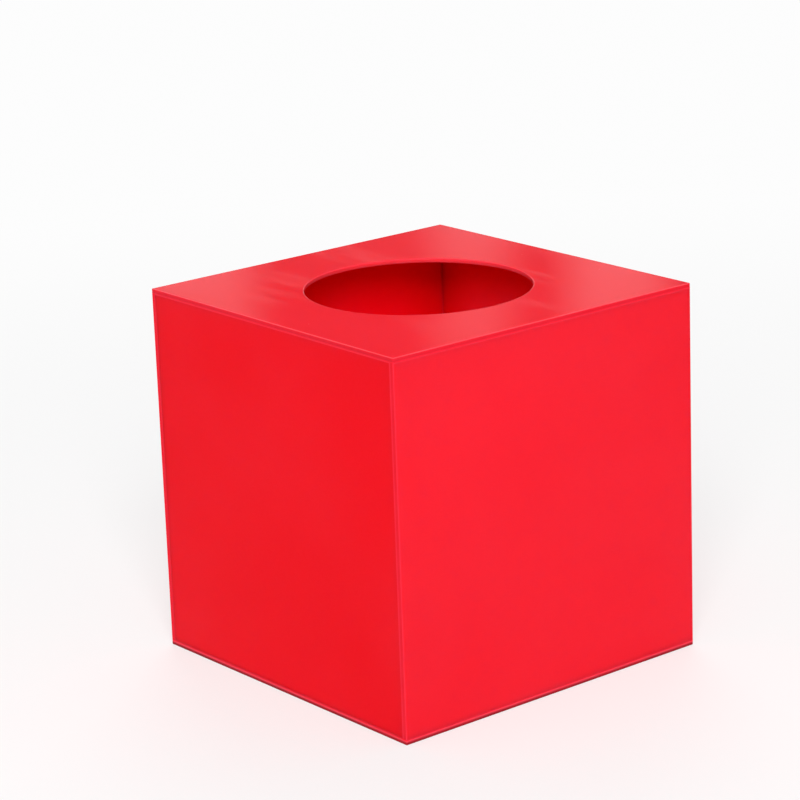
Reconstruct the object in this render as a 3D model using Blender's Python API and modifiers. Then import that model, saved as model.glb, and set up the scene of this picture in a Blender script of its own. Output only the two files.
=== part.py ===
"""Raffle box: six panels of glossy red acrylic sheet cemented into a cube, with a round hand hole.

Sizes are in metres, +Z is up and the front faces -Y. The origin is the centre of the underside.
The base and the top cover the walls, and the side walls lap over the ends of the front and back.
"""

import bpy

# Outside of the box
WIDTH = 0.250
DEPTH = 0.250
HEIGHT = 0.250

# The acrylic sheet, the film of cement between two panels, and the polished corner of every cut edge
SHEET = 0.003
CEMENT_FILM = 0.0003
ARRIS = 0.0004
ARRIS_SEGMENTS = 2

# The hand hole in the middle of the top, its flame-polished rim, and how far its cutter runs past
HOLE_DIAMETER = 0.150
HOLE_FACETS = 128
RIM_ROUND = 0.0008
RIM_SEGMENTS = 3
CUT_OVERRUN = 0.002

# Edges sharper than these angles, in radians, are polished: every cut edge, then the hole's rim alone
ARRIS_ANGLE = 0.5
RIM_ANGLE = 1.1
SMOOTH_ANGLE = 0.6

# Red acrylic, linear colour
RED = (0.80, 0.010, 0.021, 1.0)
GLOSS_ROUGHNESS = 0.08
ACRYLIC_IOR = 1.49

# What the walls have between the side walls, and between the base and the top
SEAT = SHEET + CEMENT_FILM
INNER_WIDTH = WIDTH - 2 * SEAT
WALL_HEIGHT = HEIGHT - 2 * SEAT


def clear_scene():
    """Remove every object of the open scene."""
    for old in list(bpy.data.objects):
        bpy.data.objects.remove(old, do_unlink=True)


def new_collection(name):
    collection = bpy.data.collections.new(name)
    bpy.context.scene.collection.children.link(collection)
    return collection


def move_to(collection, obj):
    """Leave the object in this collection alone."""
    for old in list(obj.users_collection):
        old.objects.unlink(obj)
    collection.objects.link(obj)


def red_acrylic(name):
    """A glossy acrylic material for one panel."""
    material = bpy.data.materials.new(name)
    material.use_nodes = True
    material.diffuse_color = RED
    shader = material.node_tree.nodes["Principled BSDF"]
    shader.inputs["Base Color"].default_value = RED
    shader.inputs["Roughness"].default_value = GLOSS_ROUGHNESS
    shader.inputs["Metallic"].default_value = 0.0
    shader.inputs["IOR"].default_value = ACRYLIC_IOR
    return material


def polish(obj, name, width, segments, angle):
    """Round every edge of the object that is sharper than the angle."""
    bevel = obj.modifiers.new(name, "BEVEL")
    bevel.width = width
    bevel.segments = segments
    bevel.limit_method = "ANGLE"
    bevel.angle_limit = angle


def add_panel(name, size, centre, box, collection):
    """A rectangular panel of the sheet, cut to size and polished along its edges."""
    bpy.ops.mesh.primitive_cube_add(size=1, location=centre)
    panel = bpy.context.object
    panel.name = name
    panel.data.name = name
    panel.scale = size
    bpy.ops.object.transform_apply(location=False, rotation=False, scale=True)
    panel.data.materials.append(red_acrylic(name + "_acrylic"))
    panel.parent = box
    move_to(collection, panel)
    polish(panel, "polished_arris", ARRIS, ARRIS_SEGMENTS, ARRIS_ANGLE)
    return panel


def cut_hand_hole(panel, box, cutters):
    """Cut the round hole through the middle of the panel and polish its rim on both faces."""
    bpy.ops.mesh.primitive_cylinder_add(
        vertices=HOLE_FACETS,
        radius=HOLE_DIAMETER / 2,
        depth=SHEET + 2 * CUT_OVERRUN,
        location=panel.location,
    )
    cutter = bpy.context.object
    cutter.name = "hand_hole_cutter"
    cutter.parent = box
    cutter.hide_render = True
    cutter.display_type = "WIRE"
    move_to(cutters, cutter)
    cut = panel.modifiers.new("hand_hole", "BOOLEAN")
    cut.operation = "DIFFERENCE"
    cut.solver = "EXACT"
    cut.object = cutter
    polish(panel, "polished_rim", RIM_ROUND, RIM_SEGMENTS, RIM_ANGLE)
    panel.data.shade_smooth()
    panel.data.set_sharp_from_angle(angle=SMOOTH_ANGLE)


def add_floor_and_top(box, collection, cutters):
    """The base under the walls, and the top over them with its hand hole."""
    size = (WIDTH, DEPTH, SHEET)
    add_panel("base_panel", size, (0, 0, SHEET / 2), box, collection)
    top = add_panel("top_panel", size, (0, 0, HEIGHT - SHEET / 2), box, collection)
    cut_hand_hole(top, box, cutters)


def add_walls(box, collection):
    """Side walls over the full depth, and a front and a back wall between them."""
    side_size = (SHEET, DEPTH, WALL_HEIGHT)
    end_size = (INNER_WIDTH, SHEET, WALL_HEIGHT)
    for side, end, sign in (("left", "front", -1), ("right", "back", 1)):
        side_centre = (sign * (WIDTH - SHEET) / 2, 0, HEIGHT / 2)
        end_centre = (0, sign * (DEPTH - SHEET) / 2, HEIGHT / 2)
        add_panel(side + "_panel", side_size, side_centre, box, collection)
        add_panel(end + "_panel", end_size, end_centre, box, collection)


def main():
    clear_scene()
    collection = new_collection("raffle_box")
    cutters = new_collection("cutters")
    box = bpy.data.objects.new("raffle_box_origin", None)
    collection.objects.link(box)
    add_floor_and_top(box, collection, cutters)
    add_walls(box, collection)


main()
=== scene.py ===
"""Looks of the raffle box: six polished sheets of red acrylic, the cement in their joints, and a studio.

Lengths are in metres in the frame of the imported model: +Z is up, the front faces -Y, the origin is under the
middle of the box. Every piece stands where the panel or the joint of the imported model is.
"""

import math

import bpy
import numpy as np
from mathutils import Matrix, Vector


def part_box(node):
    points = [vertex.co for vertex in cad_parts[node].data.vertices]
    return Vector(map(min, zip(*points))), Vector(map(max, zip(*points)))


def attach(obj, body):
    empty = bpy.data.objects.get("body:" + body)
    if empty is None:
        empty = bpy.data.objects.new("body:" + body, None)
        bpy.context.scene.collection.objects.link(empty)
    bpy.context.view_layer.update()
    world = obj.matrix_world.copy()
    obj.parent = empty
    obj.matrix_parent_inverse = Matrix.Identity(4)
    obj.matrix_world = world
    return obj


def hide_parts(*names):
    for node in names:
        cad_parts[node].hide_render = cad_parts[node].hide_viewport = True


bl_info = {
    "name": "Raffle box looks",
    "version": (1, 0, 0),
    "blender": (4, 5, 0),
    "location": "3D View > Sidebar > Raffle box",
    "description": "Polished acrylic sheets, cemented joints and a plain studio for a packed raffle box",
    "category": "Object",
}

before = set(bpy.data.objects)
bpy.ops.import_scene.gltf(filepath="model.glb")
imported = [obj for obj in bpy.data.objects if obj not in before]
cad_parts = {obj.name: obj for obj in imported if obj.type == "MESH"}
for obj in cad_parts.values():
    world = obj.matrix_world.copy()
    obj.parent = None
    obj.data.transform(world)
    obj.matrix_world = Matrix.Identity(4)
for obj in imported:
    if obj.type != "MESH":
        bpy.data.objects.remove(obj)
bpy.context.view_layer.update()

BODY = "root"

# How deep the colour of each sheet is, from the palest at 0 to the deepest at 1: partly tone that differs from
# sheet to sheet, partly painted light, with painted shade on the deep front and painted sheen on the pale
# right
SHEET_TONE_AND_PAINTED_LIGHT = {
    "front_panel": 0.85,
    "back_panel": 0.40,
    "left_panel": 0.90,
    "right_panel": 0.10,
    "base_panel": 0.50,
    "top_panel": 0.60,
}
WALL_NODES = ("front_panel", "back_panel", "left_panel", "right_panel")

# Start, end and strength of each window of a bay, and the bay's width, in degrees round the room
WINDOWS = ((-6.5, -2.75, 0.80), (0.75, 2.2, 0.60), (3.3, 5.2, 0.88))
WINDOW_BAY = 24.0
WINDOW_SOFTNESS = 1.3

# Where the room changes with height, as the sine of the elevation: start and end of each change
BACKDROP_TOP = (0.170, 0.245)
WINDOW_FOOT = (0.10, 0.19)
WINDOW_HEAD = (0.55, 0.40)
CEILING_START = (0.35, 0.60)

# Refraction of sheet and cement, and how far red, green and blue light go inside, as shares of the reach
ACRYLIC_IOR = 1.49
CEMENT_IOR = 1.45
GLOW_TINT = (1.0, 0.12, 0.10)

# What tells the patterns of two sheets apart: a shift of the faces' and of the cut edges' per seed
BASE_SEED, TOP_SEED = 5, 6
FACE_SHIFT = np.array([0.731, 0.417, 0.293])
CUT_SHIFT = 0.173

# Noise of each pattern: scale, detail and, where it isn't a half, roughness
CLOUDS = (9.0, 2.0)
MOTTLE = (900.0, 1.0)
SMEARS = (6.0, 4.0, 0.6)
HANDLED = (14.0, 1.0)
HAIRLINES = (1.0, 2.0)
WAVES = (7.0, 1.0, 0.4)
PEEL = (380.0, 1.0)
SAW_LINES = (1.0, 2.0)
PATCHES = (30.0, 2.0)
CEMENT_FLOW = (160.0, 2.0)

# Turn and stretch of the smears and hairlines, and stretch of the saw lines along and across the sheet
WIPE_TURN, WIPE_STRETCH = (0.5, 0.6, 0.7), (1.0, 5.0, 5.0)
HAIRLINE_TURN, HAIRLINE_STRETCH = (0.3, 0.2, 1.1), (4.0, 700.0, 700.0)
SAW_STRETCH, SAW_STRETCH_THIN = 1500.0, 60.0

# Start and end of the smooth steps over noise values
CLOUD_SPAN = (0.30, 0.70)
SMEAR_SPAN = (0.50, 0.72)
HANDLED_SPAN = (0.50, 0.62)
HAIRLINE_SPAN = (0.70, 0.76)
PATCH_SPAN = (0.35, 0.70)
FLOW_SPAN = (0.35, 0.70)

# Start and end of the smooth steps over distances: from the nearest corner on faces and on cut edges, past
# the hole's radius, over the top sheet's middle, and of the foot's painted shadow as shares of the base's
# thickness
FACE_CORNER = (0.0011, 0.0002)
CUT_CORNER = (0.0006, 0.0001)
RIM_WALL = (0.004, 0.002)
UPPER_HALF = (-0.0005, 0.0005)
FOOT_SHADOW_RISE = (0.35, 0.95)

# Width of the painted shade along an inner joint, and how near the inner faces it ends
PAINTED_JOINT_SHADE_WIDTH = 0.045
INNER_FACE = (0.0010, 0.0005)

# What the patterns add to the depth or the share of a colour, to the roughness, and as a height in metres; the
# corners' share is of a painted glow
CLOUD_DEPTH, MOTTLE_DEPTH = 0.20, 0.20
PAINTED_GLOW_SHARE, CORNER_ROUGHNESS = 0.45, 0.10
HAIRLINE_ROUGHNESS, HAIRLINE_HEIGHT = 0.12, 0.000004
PEEL_HEIGHT = 0.0000022
SAW_SHARE, PATCH_SHARE, SAW_HEIGHT = 0.15, 0.15, 0.000010
CUT_ROUGHNESS, SAW_ROUGHNESS, PATCH_ROUGHNESS = 0.12, 0.10, 0.08
CEMENT_ROUGHNESS, FLOW_ROUGHNESS, FLOW_HEIGHT = 0.10, 0.12, 0.00004

# Dust: scale of its grid, which cells keep a speck, a speck's size in the cell, and what it adds
DUST_GRID = 130.0
DUST_KEPT = (0.86, 0.88)
DUST_SIZE = (0.034, 0.018)
DUST_SHARE, DUST_ROUGHNESS = 0.8, 0.4

# Steps of the top's outline, the angle past which an edge of the cement is sharp, and the floor's cells
SIDE_STEPS, CORNER_STEPS = 72, 6
SHARP_ANGLE = math.radians(40)
FLOOR_CELLS = 4


def node_box(node):
    """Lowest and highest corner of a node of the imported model, as arrays."""
    low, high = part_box(node)
    return np.array(low), np.array(high)


def hole_radius(node):
    """Distance of the sheet's innermost vertices from the upright axis through the box."""
    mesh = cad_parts[node].data
    points = np.empty(len(mesh.vertices) * 3)
    mesh.vertices.foreach_get("co", points)
    return float(np.hypot(*points.reshape(-1, 3)[:, :2].T).min())


BASE_LOW, BASE_HIGH = node_box("base_panel")
TOP_LOW, TOP_HIGH = node_box("top_panel")
WALL_LOW, WALL_HIGH = node_box("right_panel")
FRONT_HIGH = node_box("front_panel")[1]


def colour_setting(name, description, default):
    return bpy.props.FloatVectorProperty(
        name=name, description=description, default=default, size=3, min=0.0, max=1.0, subtype="COLOR"
    )


class SheetShape(bpy.types.PropertyGroup):
    """How the sheets are cut, polished and cemented."""

    arris: bpy.props.FloatProperty(
        name="Arris",
        description="Radius of the polished corner along each cut edge",
        default=0.0004,
        min=0.0001,
        max=0.0010,
        precision=5,
        unit="LENGTH",
    )
    arris_steps: bpy.props.IntProperty(
        name="Arris steps",
        description="Steps of a quarter round from its face to its middle",
        default=3,
        min=1,
        max=8,
    )
    corner: bpy.props.FloatProperty(
        name="Top corner",
        description="Radius of the four corners of the top sheet, seen from above",
        default=0.0005,
        min=0.0002,
        max=0.0050,
        precision=5,
        unit="LENGTH",
    )
    hole: bpy.props.FloatProperty(
        name="Hand hole",
        description="Radius of the round hole in the top",
        default=hole_radius("top_panel"),
        min=0.02,
        max=0.10,
        unit="LENGTH",
    )
    rim: bpy.props.FloatProperty(
        name="Rim round",
        description="Radius of the flame-polished rim of the hole",
        default=0.0008,
        min=0.0002,
        max=0.0014,
        precision=5,
        unit="LENGTH",
    )
    recess: bpy.props.FloatProperty(
        name="Cement recess",
        description="Depth of the cement below the outer faces of the sheets",
        default=0.00004,
        min=0.0,
        max=0.0004,
        precision=5,
        unit="LENGTH",
    )
    sag: bpy.props.FloatProperty(
        name="Cement sag",
        description="Depth of the hollow in the middle of the cement line",
        default=0.00005,
        min=0.0,
        max=0.0004,
        precision=5,
        unit="LENGTH",
    )


class AcrylicFinish(bpy.types.PropertyGroup):
    """Colours and surface of the acrylic."""

    red: colour_setting("Red", "Sheet with little pigment", (0.975, 0.0132, 0.0300))
    deep_red: colour_setting("Deep red", "Sheet with much pigment", (0.885, 0.0006, 0.0075))
    # Painted shade on the inside of the walls along the upright joints
    joint_painted_shade_red: colour_setting("Joint red", "Inside of the walls along the joints", (0.74, 0.0012, 0.0070))
    # Painted glow and highlight on the polished corners of the sheets
    edge_painted_glow_red: colour_setting("Edge red", "Polished corners, where light comes out", (0.98, 0.031, 0.060))
    # Painted highlight on the upper polished corners of the top
    top_edge_painted_highlight_red: colour_setting("Top edge red", "Upper polished corners of the top", (0.98, 0.085, 0.112))
    cut_red: colour_setting("Cut red", "Cut edges of the walls", (0.89, 0.0105, 0.0290))
    top_cut_red: colour_setting("Top cut red", "Cut edges of the top", (0.77, 0.0130, 0.0310))
    # Painted sheen on the wall of the hand hole
    rim_painted_sheen_red: colour_setting("Rim red", "Wall of the hand hole", (0.75, 0.032, 0.049))
    # Painted highlight on the cut edge at the foot, under the walls
    foot_painted_highlight_red: colour_setting("Foot red", "Cut edge at the foot, under the walls", (0.97, 0.072, 0.108))
    # Painted contact shadow on the cut edge at the foot, near the floor
    foot_painted_shadow_red: colour_setting("Scuffed red", "Cut edge at the foot, near the floor", (0.25, 0.008, 0.015))
    cement_red: colour_setting("Cement red", "Set cement", (0.92, 0.014, 0.034))
    dust: colour_setting("Dust", "The few specks of dust", (0.80, 0.42, 0.40))
    roughness: bpy.props.FloatProperty(
        name="Roughness",
        description="Roughness of the clean cast face",
        default=0.055,
        min=0.0,
        max=1.0,
        subtype="FACTOR",
    )
    smear: bpy.props.FloatProperty(
        name="Smears",
        description="Roughness that wiping and handling add",
        default=0.10,
        min=0.0,
        max=1.0,
        subtype="FACTOR",
    )
    gloss: bpy.props.FloatProperty(
        name="Gloss",
        description="Specular level of the acrylic",
        default=0.042,
        min=0.0,
        max=1.0,
        subtype="FACTOR",
    )
    wave: bpy.props.FloatProperty(
        name="Sheet wave",
        description="Height of the long waves of a cast sheet",
        default=0.00012,
        min=0.0,
        max=0.001,
        precision=6,
        unit="LENGTH",
    )
    glow: bpy.props.FloatProperty(
        name="Inner glow",
        description="Share of the light that goes into a face of the sheet and comes out elsewhere",
        default=1.0,
        min=0.0,
        max=1.0,
        subtype="FACTOR",
    )
    edge_glow: bpy.props.FloatProperty(
        name="Edge glow",
        description="Share of the light that goes into a cut edge and comes out elsewhere",
        default=0.4,
        min=0.0,
        max=1.0,
        subtype="FACTOR",
    )
    glow_reach: bpy.props.FloatProperty(
        name="Glow reach",
        description="How far red light goes inside the sheet",
        default=0.0080,
        min=0.0001,
        max=0.02,
        precision=5,
        unit="LENGTH",
    )


class StudioLook(bpy.types.PropertyGroup):
    """Floor, light and camera."""

    floor_colour: colour_setting("Floor", "The floor, seen straight or mirrored", (0.82, 0.82, 0.82))
    floor_bounce: colour_setting("Floor bounce", "The floor, for the light it throws", (0.40, 0.40, 0.40))
    floor_side: bpy.props.FloatProperty(
        name="Floor side",
        description="Length of the floor's sides",
        default=60.0,
        min=2.0,
        max=200.0,
        unit="LENGTH",
    )
    floor_haze: bpy.props.FloatProperty(
        name="Floor haze",
        description="Share of the backdrop's white over the floor that is near the box",
        default=0.50,
        min=0.0,
        max=1.0,
        subtype="FACTOR",
    )
    floor_near: bpy.props.FloatProperty(
        name="Lit floor",
        description="How far from the box the floor starts to turn into the backdrop",
        default=0.35,
        min=0.0,
        max=100.0,
        unit="LENGTH",
    )
    floor_far: bpy.props.FloatProperty(
        name="Backdrop start",
        description="How far from the box the floor has turned into the backdrop",
        default=1.40,
        min=0.0,
        max=100.0,
        unit="LENGTH",
    )
    ceiling_light: bpy.props.FloatProperty(
        name="Ceiling light",
        description="Strength of the even light from above",
        default=0.54,
        min=0.0,
        max=2.0,
    )
    wall_light: bpy.props.FloatProperty(
        name="Wall light",
        description="Strength of the walls between the backdrop and the ceiling",
        default=0.16,
        min=0.0,
        max=2.0,
    )
    window_light: bpy.props.FloatProperty(
        name="Window light",
        description="What the soft upright windows add to the walls, at full strength",
        default=0.80,
        min=0.0,
        max=2.0,
    )
    backdrop_light: bpy.props.FloatProperty(
        name="Backdrop light",
        description="Strength of the pale backdrop, where 1 is white",
        default=0.98,
        min=0.0,
        max=1.0,
    )
    lamp_distance: bpy.props.FloatProperty(
        name="Lamp distance",
        description="How far both lamps are from the middle of the box",
        default=5.0,
        min=1.0,
        max=20.0,
        unit="LENGTH",
    )
    lamp_spread: bpy.props.FloatProperty(
        name="Lamp spread",
        description="Angle of the cone of light that each point of a lamp gives",
        default=math.radians(100),
        unit="ROTATION",
    )
    key_light: bpy.props.FloatProperty(
        name="Key light",
        description="Level of the soft lamp behind the camera, where 1 renders a white card white",
        default=1.17,
        min=0.0,
        max=4.0,
    )
    key_side: bpy.props.FloatProperty(
        name="Key side",
        description="Length of the key lamp's sides",
        default=2.1,
        min=0.1,
        max=10.0,
        unit="LENGTH",
    )
    key_azimuth: bpy.props.FloatProperty(
        name="Key azimuth",
        description="Turn of the key lamp from the front towards the right side",
        default=math.radians(50.5),
        unit="ROTATION",
    )
    key_elevation: bpy.props.FloatProperty(
        name="Key elevation",
        description="Height of the key lamp as an angle over the floor",
        default=math.radians(32),
        unit="ROTATION",
    )
    fill_light: bpy.props.FloatProperty(
        name="Fill light",
        description="Level of the soft lamp on the far side of the box",
        default=0.45,
        min=0.0,
        max=4.0,
    )
    fill_side: bpy.props.FloatProperty(
        name="Fill side",
        description="Length of the fill lamp's sides",
        default=3.2,
        min=0.1,
        max=10.0,
        unit="LENGTH",
    )
    fill_azimuth: bpy.props.FloatProperty(
        name="Fill azimuth",
        description="Turn of the fill lamp from the front towards the right side",
        default=math.radians(231),
        unit="ROTATION",
    )
    fill_elevation: bpy.props.FloatProperty(
        name="Fill elevation",
        description="Height of the fill lamp as an angle over the floor",
        default=math.radians(25),
        unit="ROTATION",
    )
    camera_place: bpy.props.FloatVectorProperty(
        name="Camera place",
        description="Where the camera stands",
        default=(1.50745, -1.24340, 0.74149),
        size=3,
        subtype="TRANSLATION",
        unit="LENGTH",
    )
    camera_azimuth: bpy.props.FloatProperty(
        name="Camera azimuth",
        description="Turn of the camera from the front towards the right side",
        default=math.radians(50.916),
        unit="ROTATION",
    )
    camera_elevation: bpy.props.FloatProperty(
        name="Camera elevation",
        description="Angle by which the camera looks down",
        default=math.radians(16.231),
        unit="ROTATION",
    )
    camera_roll: bpy.props.FloatProperty(
        name="Camera roll",
        description="Turn of the camera about its line of sight",
        default=math.radians(-2.047),
        unit="ROTATION",
    )
    camera_lens: bpy.props.FloatProperty(
        name="Camera lens",
        description="Focal length in millimetres on a 36 mm sensor",
        default=138.588,
        min=10.0,
        max=500.0,
    )


class Wire:
    """An output socket that can stand in sums: each operator adds one Math node and gives its output."""

    def __init__(self, shading, socket):
        self.shading = shading
        self.socket = socket

    def _math(self, operation, first, second=0.0):
        return self.shading.add("ShaderNodeMath", {"operation": operation}, {0: first, 1: second})

    def __add__(self, other):
        return self._math("ADD", self, other)

    __radd__ = __add__

    def __sub__(self, other):
        return self._math("SUBTRACT", self, other)

    def __rsub__(self, other):
        return self._math("SUBTRACT", other, self)

    def __mul__(self, other):
        return self._math("MULTIPLY", self, other)

    __rmul__ = __mul__

    def smaller(self, other):
        return self._math("MINIMUM", self, other)

    def larger(self, other):
        return self._math("MAXIMUM", self, other)

    def wrapped(self, low, high):
        """The value less whole steps of high - low, so that it is between them."""
        return self.shading.add("ShaderNodeMath", {"operation": "WRAP"}, {0: self, 1: high, 2: low})

    def angle_to(self, other):
        """Angle of the point (other, self) about the middle."""
        return self._math("ARCTAN2", self, other)

    def between(self, low, high):
        """0 below low, 1 above high, a smooth step between them; low may be the larger one."""
        sockets = {"Value": self, "From Min": low, "From Max": high}
        return self.shading.add("ShaderNodeMapRange", {"interpolation_type": "SMOOTHSTEP"}, sockets)


class Shading:
    """The nodes of one material or world."""

    def __init__(self, owner):
        owner.use_nodes = True
        self.tree = owner.node_tree
        self.tree.nodes.clear()

    def add(self, kind, settings=None, sockets=None, output=0):
        """Add a node, first its settings, then the values or wires of its sockets, and give one output."""
        node = self.tree.nodes.new(kind)
        for name, value in (settings or {}).items():
            setattr(node, name, value)
        for name, value in (sockets or {}).items():
            if isinstance(value, Wire):
                self.tree.links.new(value.socket, node.inputs[name])
            else:
                node.inputs[name].default_value = value
        return Wire(self, node.outputs[output]) if node.outputs else node

    def blend(self, factor, first, second):
        """The first colour where the factor is 0, the second where it is 1."""
        return self.add("ShaderNodeMix", {"data_type": "RGBA"}, {0: factor, 6: first, 7: second}, output=2)

    def place(self, centre=(0, 0, 0), turn=(0, 0, 0), scale=(1, 1, 1)):
        """Object coordinates, less the centre, then turned and scaled."""
        seen = self.add("ShaderNodeTexCoord", output="Object")
        moved = self.add("ShaderNodeVectorMath", {"operation": "SUBTRACT"}, {0: seen, 1: centre})
        return self.add("ShaderNodeMapping", None, {"Vector": moved, "Rotation": turn, "Scale": scale})

    def axis(self, vector, axis):
        """One of the three parts of a vector."""
        return self.add("ShaderNodeSeparateXYZ", None, {0: vector}, output=axis)

    def length(self, vector):
        return self.add("ShaderNodeVectorMath", {"operation": "LENGTH"}, {0: vector}, output="Value")

    def noise(self, place, scale, detail=2.0, roughness=0.5):
        sockets = {"Vector": place, "Scale": scale, "Detail": detail, "Roughness": roughness}
        return self.add("ShaderNodeTexNoise", None, sockets)

    def bump(self, height, distance, under=None):
        """Normals of a height in 0 to 1 times the distance, laid over an earlier bump."""
        sockets = {"Height": height, "Distance": distance, "Strength": 1.0}
        if under is not None:
            sockets["Normal"] = under
        return self.add("ShaderNodeBump", None, sockets)


def rgba(colour):
    return (*colour, 1.0)


def edge_distance(shading, low, high, hole):
    """How far a point of a sheet's surface is from the nearest polished corner of its faces.

    With a the distance from the nearest border, or from the wall of the hole, and b the distance from the
    nearer face, one of them is 0 all over the surface and the larger one is the distance that is wanted.
    """
    half = (high - low) / 2
    thin = int(np.argmin(half))
    across, up = [axis for axis in range(3) if axis != thin]
    middle = shading.place(centre=tuple((low + high) / 2))
    apart = shading.add("ShaderNodeVectorMath", {"operation": "ABSOLUTE"}, {0: middle})
    depth = [float(half[axis]) - shading.axis(apart, axis) for axis in range(3)]
    border = depth[across].smaller(depth[up])
    if hole:
        border = border.smaller(shading.length(shading.place(scale=(1.0, 1.0, 0.0))) - hole)
    return border.larger(depth[thin])


def surface(shading, finish, colour, roughness, normal, glow):
    """The acrylic shader: a glossy dielectric in which red light goes a few millimetres."""
    shader = shading.add(
        "ShaderNodeBsdfPrincipled",
        None,
        {
            "Base Color": colour,
            "Roughness": roughness,
            "Normal": normal,
            "IOR": ACRYLIC_IOR,
            "Specular IOR Level": finish.gloss,
            "Subsurface Weight": glow,
            "Subsurface Radius": GLOW_TINT,
            "Subsurface Scale": finish.glow_reach,
        },
    )
    shading.add("ShaderNodeOutputMaterial", None, {"Surface": shader})


def painted_joint_shade(shading, inner):
    """Painted shade: 1 along the upright joints on the inside of the walls, 0 elsewhere; inner is half the
    inner width.

    On an inner face the larger of |x| and |y| is inner, and the smaller one grows to inner at the joint.
    """
    apart = shading.add("ShaderNodeVectorMath", {"operation": "ABSOLUTE"}, {0: shading.place()})
    x, y = shading.axis(apart, 0), shading.axis(apart, 1)
    inside = x.larger(y).between(inner + INNER_FACE[0], inner + INNER_FACE[1])
    return x.smaller(y).between(inner - PAINTED_JOINT_SHADE_WIDTH, inner) * inside


def acrylic(name, low, high, finish, seed, depth, hole=0.0, inner=0.0, dusty=False):
    """Cast red acrylic of a depth of colour.

    It has pigment clouds, fine mottle, corners lightened by a painted glow, painted shade along the inner
    joints of the walls, smears, hairlines, long waves and a fine peel.
    """
    material = bpy.data.materials.new(name)
    shading = Shading(material)
    shift = tuple((low + high) / 2 + FACE_SHIFT * seed)
    here = shading.place(centre=shift)

    clouds = shading.noise(here, *CLOUDS).between(*CLOUD_SPAN) - 0.5
    mottle = shading.noise(here, *MOTTLE) - 0.5
    tone = depth + clouds * CLOUD_DEPTH + mottle * MOTTLE_DEPTH
    colour = shading.blend(tone, rgba(finish.red), rgba(finish.deep_red))
    if inner:
        # painted shade along the upright joints inside the walls
        colour = shading.blend(painted_joint_shade(shading, inner), colour, rgba(finish.joint_painted_shade_red))

    # painted glow on the corners of the faces
    corner = edge_distance(shading, low, high, hole).between(*FACE_CORNER)
    colour = shading.blend(corner * PAINTED_GLOW_SHARE, colour, rgba(finish.edge_painted_glow_red))

    wiped = shading.place(centre=shift, turn=WIPE_TURN, scale=WIPE_STRETCH)
    smear = shading.noise(wiped, *SMEARS).between(*SMEAR_SPAN)
    drawn = shading.place(centre=shift, turn=HAIRLINE_TURN, scale=HAIRLINE_STRETCH)
    handled = shading.noise(here, *HANDLED).between(*HANDLED_SPAN)
    hairline = shading.noise(drawn, *HAIRLINES).between(*HAIRLINE_SPAN) * handled
    roughness = finish.roughness + smear * finish.smear
    roughness = roughness + hairline * HAIRLINE_ROUGHNESS + corner * CORNER_ROUGHNESS

    if dusty:
        grid = {"Vector": here, "Scale": DUST_GRID}
        apart = shading.add("ShaderNodeTexVoronoi", None, grid, output="Distance")
        pick = shading.add("ShaderNodeTexVoronoi", None, grid, output="Color")
        kept = shading.add("ShaderNodeSeparateColor", None, {0: pick}).between(*DUST_KEPT)
        speck = apart.between(*DUST_SIZE) * kept
        colour = shading.blend(speck * DUST_SHARE, colour, rgba(finish.dust))
        roughness = roughness + speck * DUST_ROUGHNESS

    waves = shading.bump(shading.noise(here, *WAVES), finish.wave)
    peel = shading.bump(shading.noise(here, *PEEL), PEEL_HEIGHT, waves)
    normal = shading.bump(1.0 - hairline, HAIRLINE_HEIGHT, peel)
    surface(shading, finish, colour, roughness, normal, finish.glow)
    return material


def cut_edge(name, low, high, finish, seed, hole=0.0, foot=False):
    """Cut edge of a sheet: polished-over saw lines across the thickness, and corners lightened by a painted
    glow.

    The upper outer corners of the top get a painted highlight, and the wall of its hole a painted sheen. The
    edge at the foot of the box has a painted highlight under the walls and a painted contact shadow that
    darkens it towards the floor.
    """
    material = bpy.data.materials.new(name)
    shading = Shading(material)
    stretch = np.full(3, SAW_STRETCH)
    stretch[int(np.argmin(high - low))] = SAW_STRETCH_THIN
    shift = tuple((low + high) / 2 + seed * CUT_SHIFT)
    lines = shading.noise(shading.place(centre=shift, scale=tuple(stretch)), *SAW_LINES)
    patches = shading.noise(shading.place(centre=shift), *PATCHES).between(*PATCH_SPAN)
    corner = edge_distance(shading, low, high, hole).between(*CUT_CORNER)
    # The corners get a painted glow; body is the cut edge's own colour
    body, corner_painted_light_red = rgba(finish.cut_red), rgba(finish.edge_painted_glow_red)
    if hole:
        spoke = shading.length(shading.place(scale=(1.0, 1.0, 0.0)))
        rim = spoke.between(hole + RIM_WALL[0], hole + RIM_WALL[1])
        upper = shading.axis(shading.place(centre=tuple((low + high) / 2)), 2).between(*UPPER_HALF)
        # painted sheen on the wall of the hole
        body = shading.blend(rim, rgba(finish.top_cut_red), rgba(finish.rim_painted_sheen_red))
        # painted highlight on the upper outer corners of the top
        corner_painted_light_red = shading.blend(upper * (1.0 - rim), corner_painted_light_red, rgba(finish.top_edge_painted_highlight_red))
    if foot:
        # painted highlight under the walls, fading into painted contact shadow towards the floor
        start, end = (share * float(high[2] - low[2]) for share in FOOT_SHADOW_RISE)
        rise = shading.axis(shading.place(), 2).between(start, end)
        body = shading.blend(rise, rgba(finish.foot_painted_shadow_red), rgba(finish.foot_painted_highlight_red))
        corner = corner * rise
    colour = shading.blend(lines * SAW_SHARE + patches * PATCH_SHARE, body, rgba(finish.deep_red))
    colour = shading.blend(corner, colour, corner_painted_light_red)
    roughness = CUT_ROUGHNESS + lines * SAW_ROUGHNESS + patches * PATCH_ROUGHNESS
    surface(shading, finish, colour, roughness, shading.bump(lines, SAW_HEIGHT), finish.edge_glow)
    return material


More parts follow.
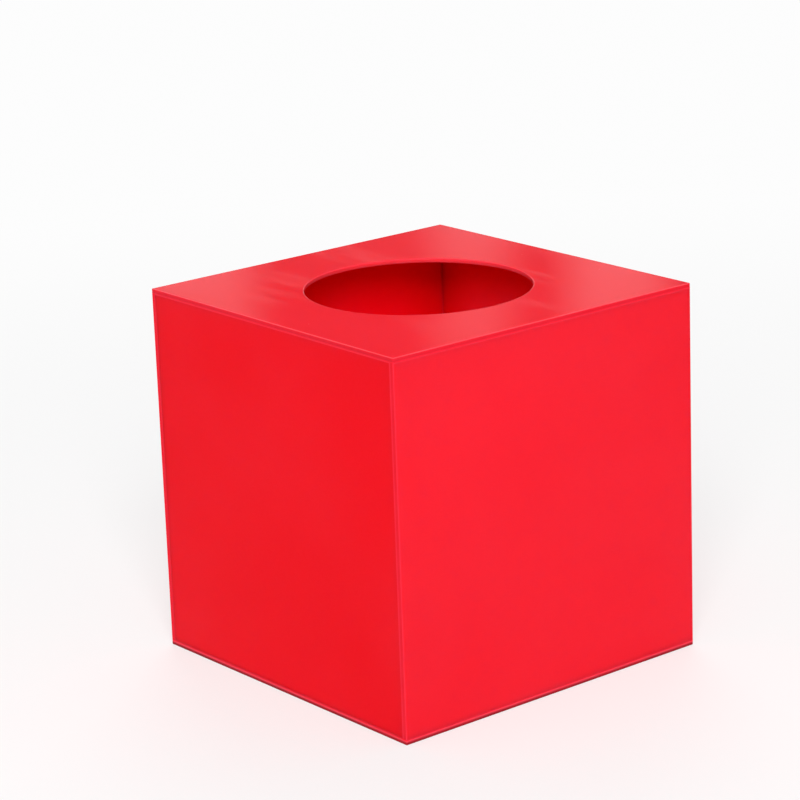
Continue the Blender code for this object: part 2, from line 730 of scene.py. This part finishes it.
def cement(name, finish):
    """Set solvent cement: darker than the sheet, glossy, with uneven flow along the joint."""
    material = bpy.data.materials.new(name)
    shading = Shading(material)
    flow = shading.noise(shading.place(), *CEMENT_FLOW)
    colour = shading.blend(flow.between(*FLOW_SPAN), rgba(finish.cement_red), rgba(finish.red))
    shader = shading.add(
        "ShaderNodeBsdfPrincipled",
        None,
        {
            "Base Color": colour,
            "Roughness": CEMENT_ROUGHNESS + flow * FLOW_ROUGHNESS,
            "Normal": shading.bump(flow, FLOW_HEIGHT),
            "IOR": CEMENT_IOR,
            "Specular IOR Level": finish.gloss,
        },
    )
    shading.add("ShaderNodeOutputMaterial", None, {"Surface": shader})
    return material


def add_piece(name, points, faces, materials, slots=None, normals=None, node=None):
    """A mesh piece that rides on the box, with its place in its mesh, in place of a node if one is named."""
    mesh = bpy.data.meshes.new(name)
    mesh.from_pydata(points.tolist(), [], [list(face) for face in faces])
    mesh.polygons.foreach_set("use_smooth", np.ones(len(mesh.polygons), bool))
    for material in materials:
        mesh.materials.append(material)
    if slots is not None:
        mesh.polygons.foreach_set("material_index", slots)
    if mesh.validate():
        raise RuntimeError(f"the surface of {name} has faces that can't stand")
    mesh.update()
    if normals is None:
        mesh.set_sharp_from_angle(angle=SHARP_ANGLE)
    else:
        mesh.normals_split_custom_set_from_vertices(normals.tolist())
    piece = bpy.data.objects.new(name, mesh)
    bpy.context.scene.collection.objects.link(piece)
    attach(piece, BODY)
    if node is not None:
        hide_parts(node)
    return piece


def rounded_sheet(low, high, arris, steps):
    """Points, normals, faces and slots of a flat sheet with quarter-round corners along all its edges.

    Each axis has ticks at arris * tan(angle) beyond the two ends of the core, the sheet less one arris all
    round, for even angles from 0 to 45 degrees. A tick lattice lies on the six sides of a block, and each of
    its points p goes to core(p) + arris * unit(p - core(p)), where core(p) is the core's nearest point.
    """
    fan = arris * np.tan(np.linspace(0, math.pi / 4, steps + 1))
    thin = int(np.argmin(high - low))
    core_low, core_high = low + arris, high - arris
    ticks = [np.concatenate([core_low[a] - fan[::-1], core_high[a] + fan]) for a in range(3)]
    count = len(ticks[0])
    keys, slots = [], []
    for axis in range(3):
        first, second = (axis + 1) % 3, (axis + 2) % 3
        u, v = np.meshgrid(np.arange(count - 1), np.arange(count - 1), indexing="ij")
        u, v = u.ravel(), v.ravel()
        flat = (u == steps) & (v == steps) & (axis == thin)
        for end, turn in ((0, -1), (count - 1, 1)):
            corners = [(u, v), (u + 1, v), (u + 1, v + 1), (u, v + 1)][::turn]
            cell = np.zeros((len(u), 4, 3), int)
            for corner, (a, b) in enumerate(corners):
                cell[:, corner, axis] = end
                cell[:, corner, first] = a
                cell[:, corner, second] = b
            keys.append(cell)
            slots.append(np.where(flat, 0, 1))
    keys = np.concatenate(keys)
    lattice, faces = np.unique(keys.reshape(-1, 3), axis=0, return_inverse=True)
    points = np.stack([ticks[a][lattice[:, a]] for a in range(3)], 1)
    nearest = np.clip(points, core_low, core_high)
    normals = points - nearest
    normals /= np.linalg.norm(normals, axis=1, keepdims=True)
    return nearest + arris * normals, normals, faces.reshape(-1, 4), np.concatenate(slots)


def round_outline(half, corner, side_steps, corner_steps):
    """Points and outward normals of a rectangle with round corners, counter-clockwise from the middle of +X.

    A side is at x = half, y = reach * tan(t) / tan(T) for even t from -T to T, so that spokes to the middle
    are about evenly turned. A corner is its centre + corner * (cos a, sin a). Each quarter is the one
    before, turned by 90 degrees.
    """
    quarters = []
    for quarter in range(4):
        out, along = (half[0], half[1]) if quarter % 2 == 0 else (half[1], half[0])
        reach = along - corner
        widest = math.atan2(reach, out)
        side = reach * np.tan(np.linspace(-widest, widest, side_steps + 1)) / math.tan(widest)
        angle = np.linspace(0, math.pi / 2, corner_steps + 1)[1:-1]
        x = np.concatenate([np.full(side.shape, out), out - corner + corner * np.cos(angle)])
        y = np.concatenate([side, reach + corner * np.sin(angle)])
        normal_x = np.concatenate([np.ones(side.shape), np.cos(angle)])
        normal_y = np.concatenate([np.zeros(side.shape), np.sin(angle)])
        turn = quarter * math.pi / 2
        c, s = round(math.cos(turn)), round(math.sin(turn))
        place = [c * x - s * y, s * x + c * y]
        normal = [c * normal_x - s * normal_y, s * normal_x + c * normal_y]
        quarters.append(np.stack(place + normal, 1))
    whole = np.concatenate(quarters)
    return whole[:, :2], whole[:, 2:]


def ring_faces(rows, columns):
    """Quads of a grid that closes on itself both ways; a cell's corners are its row and column, or the next.

    The last row and column have the first ones next to them.
    """
    row, column = np.divmod(np.arange(rows * columns), columns)
    next_row, next_column = (row + 1) % rows, (column + 1) % columns
    corners = ((row, column), (row, next_column), (next_row, next_column), (next_row, column))
    return np.stack([a * columns + b for a, b in corners], 1)


def pierced_sheet(low, high, shape, flat_steps=6, arc_steps=6):
    """Points, normals, faces and slots of a flat sheet with a round hole, closed both round and across.

    Across the sheet a row runs up the outer edge, point = outline - inset * outward, in over the top face,
    point = outer * (1 - t) + inner * t, down the wall of the hole, point = circle + inset * radial, and out
    again under it. Both roundings are quarter circles, and the circle has a point on each spoke of the
    outline.
    """
    centre = (low + high) / 2
    outline, outward = round_outline((high - low)[:2] / 2, shape.corner, SIDE_STEPS, CORNER_STEPS)
    radial = outline / np.linalg.norm(outline, axis=1, keepdims=True)
    circle = radial * shape.hole
    quarter = np.linspace(0, math.pi / 2, arc_steps + 1)
    angle = np.concatenate([-quarter[::-1], quarter])
    upper = np.repeat([False, True], arc_steps + 1)
    share = np.linspace(0, 1, flat_steps + 1)[1:-1, None, None]

    def edge(path, away, radius):
        """Rows of a rounded edge, upwards.

        inset = radius * (1 - cos a), rise = radius * sin a, normal = (away * cos a, sin a)
        """
        flat = path - (radius * (1 - np.cos(angle)))[:, None, None] * away
        level = np.where(upper, high[2] - radius, low[2] + radius) + radius * np.sin(angle)
        tall = np.broadcast_to(level[:, None, None], (*flat.shape[:2], 1))
        lean = away * np.cos(angle)[:, None, None]
        rise = np.broadcast_to(np.sin(angle)[:, None, None], tall.shape)
        return np.concatenate([flat, tall], 2), np.concatenate([lean, rise], 2)

    outer, outer_normal = edge(outline, outward, shape.arris)
    inner, inner_normal = (rows[::-1] for rows in edge(circle, -radial, shape.rim))
    over = outer[-1:] * (1 - share) + inner[:1] * share
    under = inner[-1:] * (1 - share) + outer[:1] * share
    up = np.zeros_like(over)
    up[..., 2] = 1
    points = np.concatenate([outer, over, inner, under])
    normals = np.concatenate([outer_normal, up, inner_normal, -up])
    rows, columns = points.shape[:2]
    edge_rows = len(outer) - 1
    slots = np.repeat([1, 0, 1, 0], [edge_rows, flat_steps, edge_rows, flat_steps]).repeat(columns)
    points[..., :2] += centre[:2]
    return points.reshape(-1, 3), normals.reshape(-1, 3), ring_faces(rows, columns), slots


def joint_section(thickness, film, shape, steps=5):
    """Closed section of the cement in a joint, as (depth below the outer face, height from its middle).

    It fills the film's height, opens with the two quarter-round arrises, height = film / 2 + arris -
    sqrt(arris^2 - (arris - depth)^2), and ends in a hollow, depth = recess + sag * (1 - (height / end)^2).
    """
    depth = np.linspace(shape.recess, shape.arris, steps)
    height = film / 2 + shape.arris - np.sqrt(shape.arris**2 - (shape.arris - depth) ** 2)
    hollow = height[0] * np.linspace(-1, 1, steps)[1:-1]
    bottom = shape.recess + shape.sag * (1 - (hollow / height[0]) ** 2)
    half_depth = np.concatenate([bottom, depth])
    half_height = np.concatenate([hollow, height])
    return (
        np.concatenate([half_depth, thickness - half_depth]),
        np.concatenate([half_height, -half_height]),
    )


def cement_ring(level, shape, film, low, high, thickness, steps=60):
    """Points and faces of the cement under or over the walls: the joint's section carried round the box.

    A point is (x, y) = centre + square * (half - depth), at level + height, where square runs round the
    square from -1 to 1.
    """
    depth, height = joint_section(thickness, film, shape)
    along = np.linspace(-1, 1, steps + 1)[:-1]
    ones = np.ones(steps)
    square = np.concatenate(
        [np.stack(side, 1) for side in ((ones, along), (-along, ones), (-ones, -along), (along, -ones))]
    )
    half = (high - low)[:2] / 2
    centre = (high + low)[:2] / 2
    flat = centre + square[None] * (half - depth[:, None, None])
    tall = np.broadcast_to((level + height)[:, None, None], (*flat.shape[:2], 1))
    points = np.concatenate([flat, tall], 2)
    return points.reshape(-1, 3), ring_faces(*points.shape[:2])


def cement_post(x, outer_y, sign_x, sign_y, bottom, top, shape, film, thickness, steps=60):
    """Points and faces of the cement in an upright joint: the joint's section carried up, with flat ends.

    (x, y) = (x + sign_x * height, outer_y - sign_y * depth). Where the signs don't mirror the section, it is
    run through backwards, so that the faces point outwards.
    """
    depth, height = joint_section(thickness, film, shape)
    way = -int(sign_x * sign_y)
    levels = np.linspace(bottom, top, steps + 1)
    rows, columns = len(levels), len(depth)
    points = np.empty((rows, columns, 3))
    points[..., 0] = x + sign_x * height[::way]
    points[..., 1] = outer_y - sign_y * depth[::way]
    points[..., 2] = levels[:, None]
    closed = ring_faces(rows, columns)[: (rows - 1) * columns].tolist()
    ends = [list(range(columns))[::-1], list(range((rows - 1) * columns, rows * columns))]
    return points.reshape(-1, 3), closed + ends


class RAFFLE_BOX_OT_walls(bpy.types.Operator):
    """Add the four upright sheets"""

    bl_idname = "raffle_box.walls"
    bl_label = "Add walls"

    def execute(self, context):
        shape, finish = context.scene.raffle_box_shape, context.scene.raffle_box_finish
        for seed, node in enumerate(WALL_NODES, 1):
            low, high = node_box(node)
            points, normals, faces, slots = rounded_sheet(low, high, shape.arris, shape.arris_steps)
            name = node.replace("_panel", "_sheet")
            materials = [
                acrylic(name + "_face", low, high, finish, seed, SHEET_TONE_AND_PAINTED_LIGHT[node], inner=WALL_LOW[0]),
                cut_edge(name + "_edge", low, high, finish, seed),
            ]
            add_piece(name, points, faces, materials, slots, normals, node)
        return {"FINISHED"}


class RAFFLE_BOX_OT_base(bpy.types.Operator):
    """Add the sheet under the walls"""

    bl_idname = "raffle_box.base"
    bl_label = "Add base"

    def execute(self, context):
        shape, finish = context.scene.raffle_box_shape, context.scene.raffle_box_finish
        points, normals, faces, slots = rounded_sheet(BASE_LOW, BASE_HIGH, shape.arris, shape.arris_steps)
        depth = SHEET_TONE_AND_PAINTED_LIGHT["base_panel"]
        materials = [
            acrylic("base_sheet_face", BASE_LOW, BASE_HIGH, finish, BASE_SEED, depth, dusty=True),
            cut_edge("base_sheet_edge", BASE_LOW, BASE_HIGH, finish, BASE_SEED, foot=True),
        ]
        add_piece("base_sheet", points, faces, materials, slots, normals, "base_panel")
        return {"FINISHED"}


class RAFFLE_BOX_OT_top(bpy.types.Operator):
    """Add the sheet over the walls, with its round hand hole"""

    bl_idname = "raffle_box.top"
    bl_label = "Add top"

    def execute(self, context):
        shape, finish = context.scene.raffle_box_shape, context.scene.raffle_box_finish
        points, normals, faces, slots = pierced_sheet(TOP_LOW, TOP_HIGH, shape)
        depth, hole = SHEET_TONE_AND_PAINTED_LIGHT["top_panel"], shape.hole
        materials = [
            acrylic("top_sheet_face", TOP_LOW, TOP_HIGH, finish, TOP_SEED, depth, hole, dusty=True),
            cut_edge("top_sheet_edge", TOP_LOW, TOP_HIGH, finish, TOP_SEED, hole),
        ]
        add_piece("top_sheet", points, faces, materials, slots, normals, "top_panel")
        return {"FINISHED"}


class RAFFLE_BOX_OT_cement(bpy.types.Operator):
    """Fill the joints between the sheets with cement"""

    bl_idname = "raffle_box.cement"
    bl_label = "Add cement"

    def execute(self, context):
        shape, finish = context.scene.raffle_box_shape, context.scene.raffle_box_finish
        material = cement("set_cement", finish)
        thickness = BASE_HIGH[2] - BASE_LOW[2]
        film = WALL_LOW[2] - BASE_HIGH[2]
        for name, level in (("base_cement", BASE_HIGH[2] + film / 2), ("top_cement", TOP_LOW[2] - film / 2)):
            points, faces = cement_ring(level, shape, film, BASE_LOW, BASE_HIGH, thickness)
            add_piece(name, points, faces, [material])
        gap = (WALL_LOW[0] + FRONT_HIGH[0]) / 2
        for side, end, sign_x, sign_y in (
            ("left", "front", -1, -1),
            ("right", "front", 1, -1),
            ("left", "back", -1, 1),
            ("right", "back", 1, 1),
        ):
            outer_y = WALL_HIGH[1] * sign_y
            points, faces = cement_post(
                gap * sign_x, outer_y, sign_x, sign_y, WALL_LOW[2], WALL_HIGH[2], shape, film, thickness
            )
            add_piece(f"{end}_{side}_cement", points, faces, [material])
        return {"FINISHED"}


class RAFFLE_BOX_OT_stage(bpy.types.Operator):
    """Add the floor, the light and the camera"""

    bl_idname = "raffle_box.stage"
    bl_label = "Add stage"

    def execute(self, context):
        look = context.scene.raffle_box_look
        add_floor(look)
        add_world(look)
        add_lights(look)
        add_camera(look)
        context.scene.view_settings.view_transform = "Standard"
        return {"FINISHED"}


def add_floor(look):
    """A wide plain floor, a grid of points at even steps.

    Near the box it is lit by the lamps and keeps the shadow, under a haze of the backdrop's white. Further
    out it turns into the backdrop, for what is seen straight, mirrored or through glass, so that both meet
    without a line.
    """
    reach = look.floor_side / 2
    row = FLOOR_CELLS + 1
    ticks = np.linspace(-reach, reach, row)
    x, y = np.meshgrid(ticks, ticks, indexing="ij")
    points = np.stack([x.ravel(), y.ravel(), np.zeros(x.size)], 1)
    cells = (np.arange(FLOOR_CELLS)[:, None] * row + np.arange(FLOOR_CELLS)).ravel()
    faces = np.stack([cells, cells + row, cells + row + 1, cells + 1], 1)
    mesh = bpy.data.meshes.new("studio_floor")
    mesh.from_pydata(points.tolist(), [], faces.tolist())
    floor = bpy.data.objects.new("studio_floor", mesh)
    bpy.context.scene.collection.objects.link(floor)
    material = bpy.data.materials.new("studio_floor")
    shading = Shading(material)
    camera, glossy, through = (
        shading.add("ShaderNodeLightPath", output=f"Is {ray} Ray")
        for ray in ("Camera", "Glossy", "Transmission")
    )
    seen = camera.larger(glossy).larger(through)
    colour = shading.blend(seen, rgba(look.floor_bounce), rgba(look.floor_colour))
    lit = shading.add(
        "ShaderNodeBsdfPrincipled",
        None,
        {"Base Color": colour, "Roughness": 0.9, "Specular IOR Level": 0.0},
    )
    pale = shading.add("ShaderNodeEmission", None, {"Color": (1, 1, 1, 1), "Strength": look.backdrop_light})
    away = shading.length(shading.place()).between(look.floor_near, look.floor_far)
    haze = (away * (1.0 - look.floor_haze) + look.floor_haze) * seen
    both = shading.add("ShaderNodeMixShader", None, {0: haze, 1: lit, 2: pale})
    shading.add("ShaderNodeOutputMaterial", None, {"Surface": both})
    mesh.materials.append(material)


def add_world(look):
    """Even light from above, a pale backdrop over the horizon, and bays of soft upright windows above it.

    A bay is turned by WINDOW_BAY from the next, and the first one has its middle where the top mirrors it to
    the camera. Its windows are the spans of WINDOWS, in degrees from the bay's middle.
    """
    world = bpy.data.worlds.new("studio_room")
    bpy.context.scene.world = world
    shading = Shading(world)
    ray = shading.add("ShaderNodeTexCoord", output="Generated")
    x, y, height = (shading.axis(ray, axis) for axis in range(3))
    turn = (look.camera_azimuth - math.pi - x.angle_to(0.0 - y)) * math.degrees(1)
    turn = turn.wrapped(-WINDOW_BAY / 2, WINDOW_BAY / 2)
    soft = WINDOW_SOFTNESS / 2
    panes = 0.0
    for start, end, strength in WINDOWS:
        pane = turn.between(start - soft, start + soft) * turn.between(end + soft, end - soft)
        panes = pane * strength + panes
    panes = panes * height.between(*WINDOW_FOOT) * height.between(*WINDOW_HEAD)
    low = height.between(*BACKDROP_TOP) * (look.wall_light - look.backdrop_light)
    high = height.between(*CEILING_START) * (look.ceiling_light - look.wall_light)
    strength = look.backdrop_light + low + high + panes * look.window_light
    background = shading.add("ShaderNodeBackground", None, {"Color": (1, 1, 1, 1), "Strength": strength})
    shading.add("ShaderNodeOutputWorld", None, {"Surface": background})


def direction(azimuth, elevation):
    """Unit vector at an azimuth, turned from the front towards the right side, and an elevation."""
    flat = math.cos(elevation)
    return Vector((math.sin(azimuth) * flat, -math.cos(azimuth) * flat, math.sin(elevation)))


def add_lamp(name, look, azimuth, elevation, side, level, mirrored):
    """A soft square lamp that renders a white card in the middle of the box, facing it, at the level.

    Its power is level * pi^2 * distance^2, less what the limited spread adds along its axis, a factor of
    tan(h) / (tan(h) - h) for half the spread, h.
    """
    away = direction(azimuth, elevation)
    half = look.lamp_spread / 2
    light = bpy.data.lights.new(name, "AREA")
    light.shape = "SQUARE"
    light.size = side
    light.spread = look.lamp_spread
    light.energy = level * (math.pi * look.lamp_distance) ** 2 * (math.tan(half) - half) / math.tan(half)
    lamp = bpy.data.objects.new(name, light)
    lamp.rotation_mode = "QUATERNION"
    lamp.rotation_quaternion = away.to_track_quat("Z", "Y")
    lamp.location = Vector((0.0, 0.0, TOP_HIGH[2] / 2)) + look.lamp_distance * away
    lamp.visible_camera = False
    lamp.visible_glossy = mirrored
    bpy.context.scene.collection.objects.link(lamp)


def add_lights(look):
    """A low soft lamp behind the camera, which also shines through the hole, and a weaker one opposite."""
    for lamp, mirrored in (("key", True), ("fill", False)):
        settings = (getattr(look, f"{lamp}_{part}") for part in ("azimuth", "elevation", "side", "light"))
        add_lamp(f"{lamp}_lamp", look, *settings, mirrored)


def add_camera(look):
    """The camera at the photograph's angle."""
    back, roll = direction(look.camera_azimuth, look.camera_elevation), look.camera_roll
    right = Vector((0, 0, 1)).cross(back).normalized()
    up = back.cross(right)
    turned_right = math.cos(roll) * right + math.sin(roll) * up
    turned_up = -math.sin(roll) * right + math.cos(roll) * up
    lens = bpy.data.cameras.new("camera")
    lens.lens = look.camera_lens
    lens.sensor_width = 36.0
    lens.clip_start, lens.clip_end = 0.05, 200.0
    camera = bpy.data.objects.new("camera", lens)
    turn = Matrix((turned_right, turned_up, back)).transposed()
    camera.matrix_world = Matrix.Translation(look.camera_place) @ turn.to_4x4()
    bpy.context.scene.collection.objects.link(camera)
    bpy.context.scene.camera = camera


class RAFFLE_BOX_PT_sidebar(bpy.types.Panel):
    """Sizes, finish and studio of the raffle box"""

    bl_idname = "RAFFLE_BOX_PT_sidebar"
    bl_label = "Raffle box"
    bl_space_type = "VIEW_3D"
    bl_region_type = "UI"
    bl_category = "Raffle box"

    def draw(self, context):
        for label, group in GROUPS.items():
            box = self.layout.box()
            box.label(text=label)
            settings = getattr(context.scene, group[0])
            for name in group[1].__annotations__:
                box.prop(settings, name)
        for step in STEPS:
            self.layout.operator(step.bl_idname)


GROUPS = {
    "Sheets": ("raffle_box_shape", SheetShape),
    "Finish": ("raffle_box_finish", AcrylicFinish),
    "Studio": ("raffle_box_look", StudioLook),
}
STEPS = (
    RAFFLE_BOX_OT_walls,
    RAFFLE_BOX_OT_base,
    RAFFLE_BOX_OT_top,
    RAFFLE_BOX_OT_cement,
    RAFFLE_BOX_OT_stage,
)


def register():
    for group in GROUPS.values():
        bpy.utils.register_class(group[1])
        setattr(bpy.types.Scene, group[0], bpy.props.PointerProperty(type=group[1]))
    for step in STEPS:
        bpy.utils.register_class(step)
    bpy.utils.register_class(RAFFLE_BOX_PT_sidebar)


def unregister():
    bpy.utils.unregister_class(RAFFLE_BOX_PT_sidebar)
    for step in reversed(STEPS):
        bpy.utils.unregister_class(step)
    for group in reversed(GROUPS.values()):
        delattr(bpy.types.Scene, group[0])
        bpy.utils.unregister_class(group[1])


def main():
    register()
    bpy.ops.raffle_box.walls()
    bpy.ops.raffle_box.base()
    bpy.ops.raffle_box.top()
    bpy.ops.raffle_box.cement()
    bpy.ops.raffle_box.stage()


if __name__ == "__main__":
    main()
